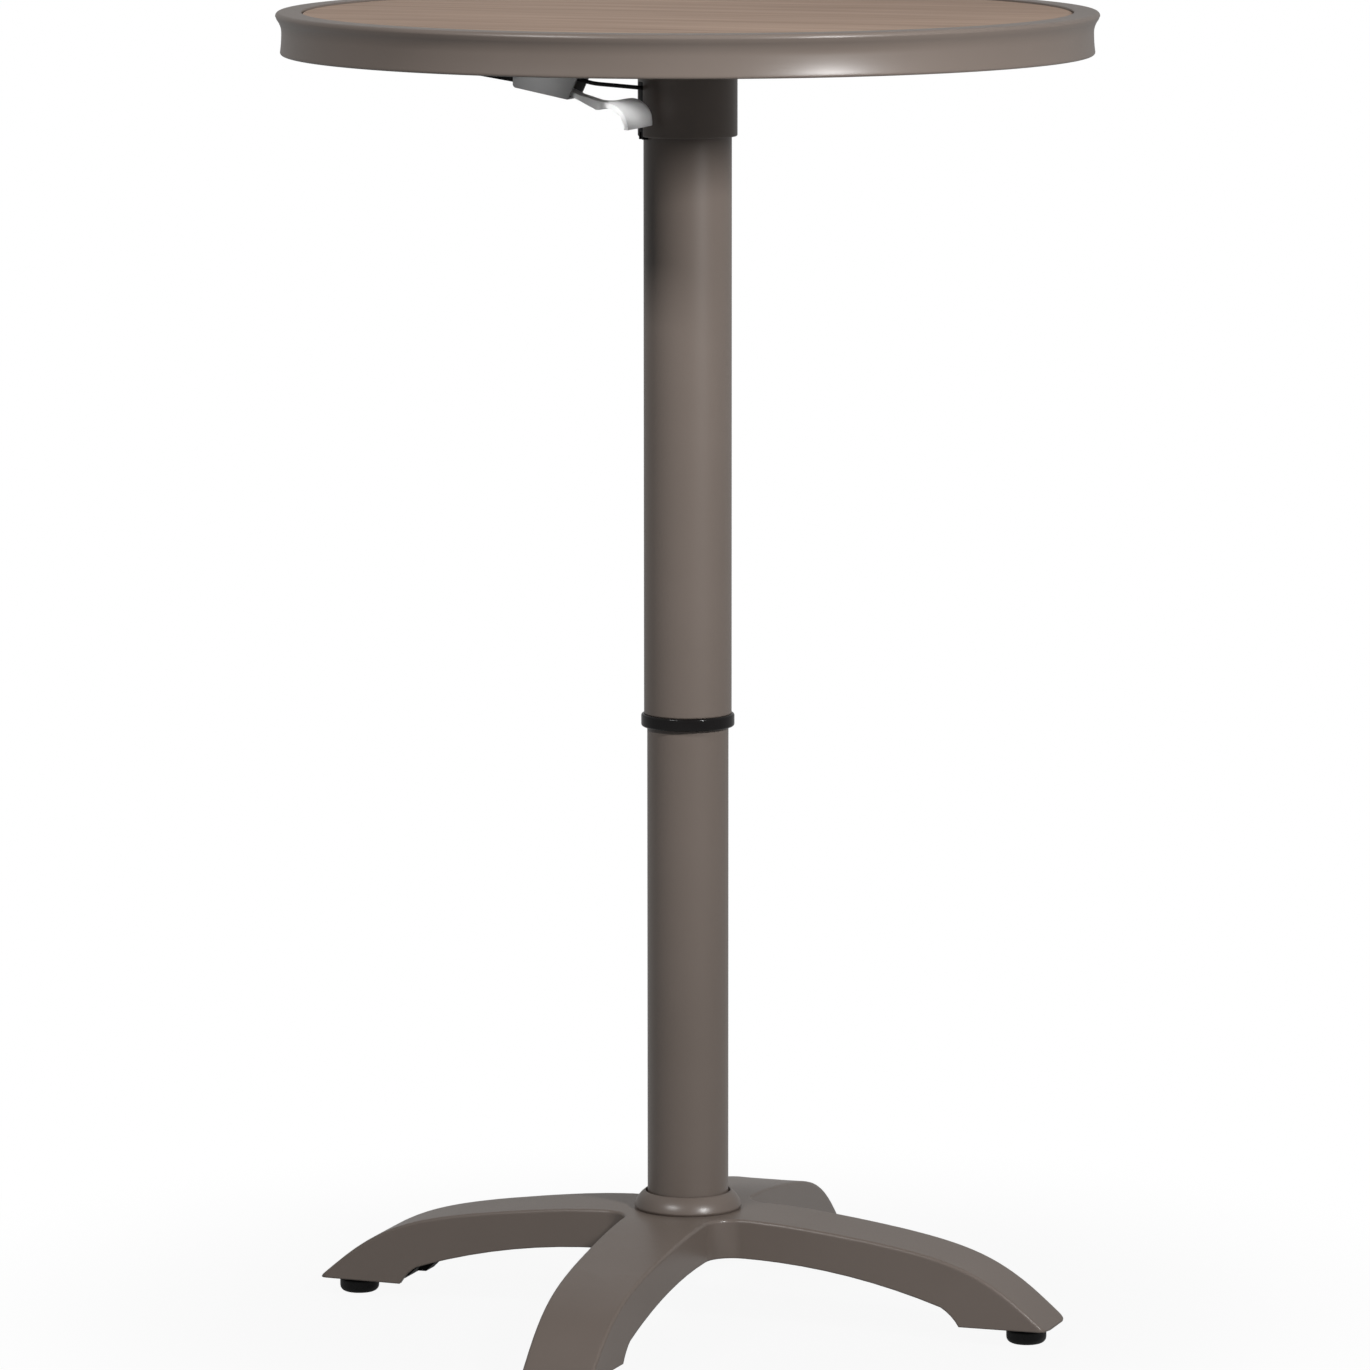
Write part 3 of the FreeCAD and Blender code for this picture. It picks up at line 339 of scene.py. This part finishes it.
# Column: the upper tube slides over the lower one on a black guide ring pressed into its end.
# Inside, a gas spring stands in the tube plug and its rod hangs the top.
gloss_black = surface("gloss_black", dark=(0.007, 0.006, 0.006), light=(0.011, 0.010, 0.010),
                      rough=0.14, fine=1100.0, broad=40.0, bump=0.03, shine=0.2)
ring_low, ring_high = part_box("guide_ring")
upper_low, upper_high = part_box("upper_tube")
upper_wall = 0.0015
upper_round = 0.0003
bore_round = 0.0002
ring_round = 0.0018
ring_mouth_round = 0.0005
ring_end_round = 0.0003
upper_radius = upper_high.x
upper_bore = upper_radius - upper_wall
ring_bore = tube_radius + snug
guide_profile = with_rounds([(ring_bore, ring_low.z, ring_mouth_round),
                             (ring_high.x, ring_low.z, ring_round), (ring_high.x, upper_low.z, ring_round),
                             (upper_bore, upper_low.z, 0), (upper_bore, ring_high.z, ring_end_round),
                             (ring_bore, ring_high.z, 0)])
add_piece(lathe(guide_profile, tube_steps), "guide_ring_skin", "top", gloss_black, "black_plastic",
          "guide_ring")
upper_profile = with_rounds([(upper_bore, upper_low.z, bore_round),
                             (upper_bore, upper_high.z, bore_round),
                             (upper_radius, upper_high.z, upper_round),
                             (upper_radius, upper_low.z, upper_round)])
add_piece(lathe(upper_profile, tube_steps), "upper_tube_skin", "top", taupe_coat, "powder_coat",
          "upper_tube")

# Column head: a coated sleeve that closes the tube and carries the release head inside.
# Its cable slot has a black edging, forked at the foot.
add_piece(merged_copy("column_head"), "column_head_skin", "top", taupe_coat, "powder_coat", "column_head")
add_piece(merged_copy("slot_grommet", edge_round=0.0004), "slot_edging", "top", black_plastic,
          "black_plastic", "slot_grommet")

# Carrier: two aluminium bars lie across the frame, and a black steel plate ties them to the head.
# Foam strips keep the bars from rattling on the board.
mill_aluminium = surface("mill_aluminium", dark=(0.52, 0.52, 0.53), light=(0.64, 0.64, 0.65),
                         rough=0.38, fine=500.0, broad=30.0, bump=0.1, metallic=1.0)
black_steel = surface("black_steel", dark=(0.016, 0.016, 0.017), light=(0.026, 0.026, 0.027),
                      rough=0.36, fine=800.0, broad=30.0, bump=0.15)
foam = surface("foam_strip", dark=(0.024, 0.024, 0.024), light=(0.038, 0.038, 0.038),
               rough=0.8, fine=500.0, broad=80.0, bump=0.8)
for node in ("crossbar_front", "crossbar_back"):
    add_piece(merged_copy(node, edge_round=0.0004), node + "_skin", "top", mill_aluminium,
              "bare_aluminium", node)
add_piece(merged_copy("mounting_plate", edge_round=0.0005), "mounting_plate_skin", "top", black_steel,
          "black_steel", "mounting_plate")
for node, facing in (("plate_screws", (0, 0, -1)), ("head_screws", (0, 0, 1))):
    add_piece(with_sockets(node, facing), node + "_socket", "top", zinc_plate, "zinc_steel", node)

# Top: a coated rim frame, hollow-moulded outside, holds a wood board that lies just below its lip.
# The board has a fine straight grain and a matt oil finish.
rim_low, rim_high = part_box("rim_frame")
panel_low, panel_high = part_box("top_panel")
rim_radius = rim_high.x
panel_radius = panel_high.x
rim_wall = 0.0025
lip_round = 0.0032
lip_ease = 0.0004
bead_round = 0.0018
top_steps = 256
rim_inner = panel_radius + 0.001
ledge_inner = rim_inner - 0.012
flange_inner = rim_radius - 0.014
inner_shell = rim_radius - 0.0078
bead_radius = rim_radius - 0.0036
web_radius = rim_radius - 0.0047
web = (web_radius, rim_high.z - 0.0165)
cove_top = (rim_radius - 0.0012, rim_high.z - 0.006)
cove_middle = (web_radius + 0.0009, rim_high.z - 0.0108)
cove = arc_through(cove_top, cove_middle, web, 12)
flare_bottom = (bead_radius, rim_low.z + bead_round)
flare_middle = (web_radius + 0.00028, (web[1] + flare_bottom[1]) / 2)
flare = arc_through(web, flare_middle, flare_bottom, 8)
share = 1 - math.sqrt(0.5)
lip = arc_through((rim_radius - lip_round, rim_high.z),
                  (rim_radius - share * lip_round, rim_high.z - share * lip_round),
                  (rim_radius, rim_high.z - lip_round), 6)
bead = arc_through(flare_bottom, (bead_radius - share * bead_round, rim_low.z + share * bead_round),
                   (bead_radius - bead_round, rim_low.z), 8)
rim_profile = [(rim_inner, rim_high.z - lip_ease), (rim_inner + lip_ease, rim_high.z)]
rim_profile += lip + cove + flare[1:] + bead[1:]
rim_profile += [(flange_inner, rim_low.z), (flange_inner, rim_low.z + rim_wall),
                (inner_shell, rim_low.z + rim_wall), (inner_shell, panel_low.z - rim_wall),
                (ledge_inner, panel_low.z - rim_wall), (ledge_inner, panel_low.z), (rim_inner, panel_low.z)]
add_piece(lathe(rim_profile, top_steps), "rim_frame_skin", "top", taupe_coat, "powder_coat", "rim_frame",
          crease=25.0)
add_piece(with_sockets("panel_screws", (0, 0, -1)), "panel_screws_socket", "top", zinc_plate, "zinc_steel",
          "panel_screws")

board = bpy.data.materials.new("oiled_wood")
board.use_nodes = True
board_nodes = board.node_tree.nodes
board_links = board.node_tree.links
board_shader = board_nodes["Principled BSDF"]
board_shader.inputs["Specular IOR Level"].default_value = 0.08
board_place = board_nodes.new("ShaderNodeTexCoord")


def streaks(stretch, scale, detail):
    """Noise drawn out along the grain, which runs along X."""
    mapping = board_nodes.new("ShaderNodeMapping")
    mapping.inputs["Scale"].default_value = (1.0, stretch, stretch)
    board_links.new(board_place.outputs["Object"], mapping.inputs["Vector"])
    noise = board_nodes.new("ShaderNodeTexNoise")
    noise.inputs["Scale"].default_value = scale
    noise.inputs["Detail"].default_value = detail
    board_links.new(mapping.outputs["Vector"], noise.inputs["Vector"])
    return noise.outputs[0]


broad_streaks = streaks(14.0, 3.0, 5.0)
fine_streaks = streaks(40.0, 9.0, 4.0)
pores = streaks(30.0, 40.0, 1.0)
fine_share = 0.55
mix_streaks = board_nodes.new("ShaderNodeMath")
mix_streaks.operation = "MULTIPLY_ADD"
mix_streaks.inputs[1].default_value = fine_share
board_links.new(fine_streaks, mix_streaks.inputs[0])
broad_part = board_nodes.new("ShaderNodeMath")
broad_part.operation = "MULTIPLY"
broad_part.inputs[1].default_value = 1.0 - fine_share
board_links.new(broad_streaks, broad_part.inputs[0])
board_links.new(broad_part.outputs[0], mix_streaks.inputs[2])
wood_tone = board_nodes.new("ShaderNodeValToRGB")
wood_tone.color_ramp.elements[0].position = 0.34
wood_tone.color_ramp.elements[0].color = (0.250, 0.175, 0.133, 1.0)
wood_tone.color_ramp.elements[1].position = 0.66
wood_tone.color_ramp.elements[1].color = (0.420, 0.306, 0.236, 1.0)
board_links.new(mix_streaks.outputs[0], wood_tone.inputs["Fac"])
board_links.new(wood_tone.outputs["Color"], board_shader.inputs["Base Color"])
board_gloss = board_nodes.new("ShaderNodeMapRange")
board_gloss.inputs["To Min"].default_value = 0.5
board_gloss.inputs["To Max"].default_value = 0.68
board_links.new(fine_streaks, board_gloss.inputs["Value"])
board_links.new(board_gloss.outputs["Result"], board_shader.inputs["Roughness"])
board_relief = board_nodes.new("ShaderNodeBump")
board_relief.inputs["Strength"].default_value = 0.3
board_relief.inputs["Distance"].default_value = grain_depth
board_links.new(pores, board_relief.inputs["Height"])
board_links.new(board_relief.outputs["Normal"], board_shader.inputs["Normal"])
board_low_round = 0.0005
board_high_round = 0.0008
panel_profile = with_rounds([(0.0, panel_low.z, 0), (panel_radius, panel_low.z, board_low_round),
                             (panel_radius, panel_high.z, board_high_round), (0.0, panel_high.z, 0)])
add_piece(lathe(panel_profile, top_steps, closed=False), "top_board", "top", board, "wood_board",
          "top_panel")

# Release lever: a black base under the front bar carries a grey trough cover and the pivot pin.
# The silver lever reaches out of the cover, and its cable runs through the slot to the release head.
grey_plastic = surface("grey_plastic", dark=(0.27, 0.271, 0.273), light=(0.31, 0.311, 0.313),
                       rough=0.45, fine=1200.0, broad=25.0, bump=0.15)
silver_lacquer = surface("silver_lacquer", dark=(0.84, 0.84, 0.84), light=(0.90, 0.90, 0.90),
                         rough=0.4, fine=1500.0, broad=30.0, bump=0.1, metallic=0.2)
sheath_rubber = surface("sheath_rubber", dark=(0.011, 0.011, 0.011), light=(0.017, 0.017, 0.017),
                        rough=0.5, fine=900.0, broad=90.0, bump=0.2, shine=0.25)
add_piece(merged_copy("lever_base", edge_round=0.0005), "lever_base_skin", "top", black_plastic,
          "black_plastic", "lever_base")
add_piece(merged_copy("lever_cover", edge_round=0.0006), "lever_cover_skin", "top", grey_plastic,
          "grey_plastic", "lever_cover")
lever_skin = add_piece(merged_copy("release_lever", edge_round=0.0005), "release_lever_skin", "lever",
                       silver_lacquer, "silver_lever", "release_lever")
add_piece(merged_copy("cable_sheath"), "cable_sheath_skin", "top", sheath_rubber, "cable_rubber",
          "cable_sheath")
add_piece(with_sockets("lever_base_screws", (0, 0, -1)), "lever_base_screws_socket", "top", zinc_plate,
          "zinc_steel", "lever_base_screws")

# Small parts in the column and under the top stay as they were machined, pressed or cast.
# Each is screwed, pinned or pressed in place and takes the finish of its slot.
turned_brass = surface("turned_brass", dark=(0.52, 0.36, 0.13), light=(0.64, 0.47, 0.19),
                       rough=0.32, fine=600.0, broad=90.0, bump=0.1, metallic=1.0)
hard_chrome = surface("hard_chrome", dark=(0.66, 0.66, 0.68), light=(0.74, 0.74, 0.76),
                      rough=0.12, fine=500.0, broad=40.0, bump=0.03, metallic=1.0)
cast_alloy = surface("cast_alloy", dark=(0.42, 0.42, 0.42), light=(0.54, 0.54, 0.54),
                     rough=0.5, fine=400.0, broad=50.0, bump=0.4, metallic=1.0)
slot_finish = {"zinc_steel": zinc_plate, "black_steel": black_steel, "hard_chrome": hard_chrome,
               "cast_alloy": cast_alloy, "bare_aluminium": mill_aluminium, "brass_bush": turned_brass,
               "foam_strip": foam, "black_plastic": black_plastic}
for part in frame["record"]["subparts"]:
    if part["material_slot"] in slot_finish:
        mesh = frame["nodes"][part["node"]].data
        for place in range(len(mesh.materials)):
            mesh.materials[place] = slot_finish[part["material_slot"]]

# Studio: a pale floor runs on to white, with a key lamp on the right and a broad lamp in front.
# Lamps above, behind and beside fill the shadows, and two small ones reach the lever and its cover.
# The camera stands above the height of the top and looks down by about eight degrees.
mirror_level = 0.32
ambient = 0.04
floor_half = 12.0
floor_material = bpy.data.materials.new("studio_floor")
floor_material.use_nodes = True
floor_nodes = floor_material.node_tree.nodes
floor_links = floor_material.node_tree.links
floor_shader = floor_nodes["Principled BSDF"]
floor_shader.inputs["Base Color"].default_value = (0.25, 0.25, 0.25, 1.0)
floor_shader.inputs["Roughness"].default_value = 0.9
floor_glow = floor_nodes.new("ShaderNodeEmission")
floor_ray = floor_nodes.new("ShaderNodeLightPath")
floor_seen = floor_nodes.new("ShaderNodeMath")
floor_seen.operation = "MULTIPLY_ADD"
floor_seen.inputs[1].default_value = mirror_level
floor_links.new(floor_ray.outputs["Is Glossy Ray"], floor_seen.inputs[0])
floor_links.new(floor_ray.outputs["Is Camera Ray"], floor_seen.inputs[2])
floor_place = floor_nodes.new("ShaderNodeTexCoord")
floor_reach = floor_nodes.new("ShaderNodeVectorMath")
floor_reach.operation = "LENGTH"
floor_links.new(floor_place.outputs["Object"], floor_reach.inputs[0])
floor_fade = floor_nodes.new("ShaderNodeMapRange")
floor_fade.interpolation_type = "SMOOTHSTEP"
floor_fade.inputs["From Min"].default_value = 0.25
floor_fade.inputs["From Max"].default_value = 0.75
floor_fade.inputs["To Min"].default_value = 0.93
floor_fade.inputs["To Max"].default_value = 1.0
floor_links.new(floor_reach.outputs["Value"], floor_fade.inputs["Value"])
floor_share = floor_nodes.new("ShaderNodeMath")
floor_share.operation = "MULTIPLY"
floor_links.new(floor_seen.outputs[0], floor_share.inputs[0])
floor_links.new(floor_fade.outputs["Result"], floor_share.inputs[1])
floor_mix = floor_nodes.new("ShaderNodeMixShader")
floor_links.new(floor_share.outputs[0], floor_mix.inputs[0])
floor_links.new(floor_shader.outputs["BSDF"], floor_mix.inputs[1])
floor_links.new(floor_glow.outputs["Emission"], floor_mix.inputs[2])
floor_side = floor_nodes.new("ShaderNodeNewGeometry")
floor_clear = floor_nodes.new("ShaderNodeBsdfTransparent")
floor_faces = floor_nodes.new("ShaderNodeMixShader")
floor_links.new(floor_side.outputs["Backfacing"], floor_faces.inputs[0])
floor_links.new(floor_mix.outputs["Shader"], floor_faces.inputs[1])
floor_links.new(floor_clear.outputs["BSDF"], floor_faces.inputs[2])
floor_links.new(floor_faces.outputs["Shader"], floor_nodes["Material Output"].inputs["Surface"])
floor_bm = bmesh.new()
bmesh.ops.create_grid(floor_bm, x_segments=1, y_segments=1, size=floor_half)
floor_mesh = bpy.data.meshes.new("floor")
floor_bm.to_mesh(floor_mesh)
floor_bm.free()
floor_mesh.materials.append(floor_material)
floor = bpy.data.objects.new("floor", floor_mesh)
bpy.context.scene.collection.objects.link(floor)

world = bpy.data.worlds.new("studio")
bpy.context.scene.world = world
world.use_nodes = True
sky = world.node_tree.nodes["Background"]
sky.inputs["Color"].default_value = (1.0, 1.0, 1.0, 1.0)
world_ray = world.node_tree.nodes.new("ShaderNodeLightPath")
level = None
for label, amount in (("Is Camera Ray", 1.0 - ambient), ("Is Transmission Ray", 1.0 - ambient),
                      ("Is Glossy Ray", mirror_level)):
    add_ray = world.node_tree.nodes.new("ShaderNodeMath")
    add_ray.operation = "MULTIPLY_ADD"
    add_ray.inputs[1].default_value = amount
    add_ray.inputs[2].default_value = ambient
    world.node_tree.links.new(world_ray.outputs[label], add_ray.inputs[0])
    if level:
        world.node_tree.links.new(level, add_ray.inputs[2])
    level = add_ray.outputs[0]
world.node_tree.links.new(level, sky.inputs["Strength"])


def soft_lamp(name, place, aim, size, power, beam, mirrored=True):
    """Rectangular lamp turned to its aim; one that is not mirrored leaves no highlight."""
    lamp = bpy.data.lights.new(name, "AREA")
    lamp.shape = "RECTANGLE"
    lamp.size, lamp.size_y = size
    lamp.energy = power
    lamp.spread = math.radians(beam)
    holder = bpy.data.objects.new(name, lamp)
    holder.location = place
    holder.rotation_euler = (Vector(aim) - Vector(place)).to_track_quat("-Z", "Y").to_euler()
    holder.visible_glossy = mirrored
    bpy.context.scene.collection.objects.link(holder)
    return holder


soft_lamp("key_lamp", place=(2.10, -1.34, 1.69), aim=(0.0, 0.0, 0.85), size=(0.26, 0.34),
          power=19.5, beam=100.0)
soft_lamp("front_lamp", place=(-0.95, -2.43, 2.54), aim=(0.0, 0.0, 0.9), size=(1.1, 0.35),
          power=14.0, beam=100.0)
soft_lamp("top_lamp", place=(0.0, 0.3, 3.2), aim=(0.0, 0.0, 0.5), size=(2.0, 2.0),
          power=12.0, beam=180.0, mirrored=False)
soft_lamp("back_lamp", place=(-1.4, 2.5, 1.9), aim=(0.0, 0.0, 0.7), size=(1.6, 1.6),
          power=9.0, beam=110.0, mirrored=False)
soft_lamp("side_lamp", place=(2.6, 0.8, 1.0), aim=(0.0, 0.0, 0.9), size=(0.5, 0.5),
          power=1.6, beam=100.0, mirrored=False)
lever_lamp = soft_lamp("lever_lamp", place=(0.002, -0.14, 1.018), aim=(-0.016, -0.072, 0.964),
                       size=(0.05, 0.02), power=0.009, beam=40.0, mirrored=False)
lever_only = bpy.data.collections.new("lever_only")
lever_only.objects.link(lever_skin)
lever_lamp.light_linking.receiver_collection = lever_only
soft_lamp("cover_lamp", place=(-0.1, -0.19, 1.014), aim=(-0.095, -0.087, 0.997), size=(0.04, 0.006),
          power=0.0026, beam=40.0)

camera_place = (2.03507, -5.77476, 1.39185)
camera_azimuth = 19.434
camera_pitch = 8.153
camera_roll = -0.021
camera_data = bpy.data.cameras.new("camera")
camera_data.sensor_fit = "HORIZONTAL"
camera_data.sensor_width = 36.0
camera_data.lens = 203.536
camera_data.clip_end = 60.0
camera = bpy.data.objects.new("camera", camera_data)
turn_round = Matrix.Rotation(math.radians(camera_azimuth), 4, "Z")
look_down = Matrix.Rotation(math.radians(90.0 - camera_pitch), 4, "X")
roll = Matrix.Rotation(math.radians(camera_roll), 4, "Z")
camera.matrix_world = Matrix.Translation(camera_place) @ turn_round @ look_down @ roll
bpy.context.scene.collection.objects.link(camera)
bpy.context.scene.camera = camera
bpy.context.scene.view_settings.view_transform = "Standard"
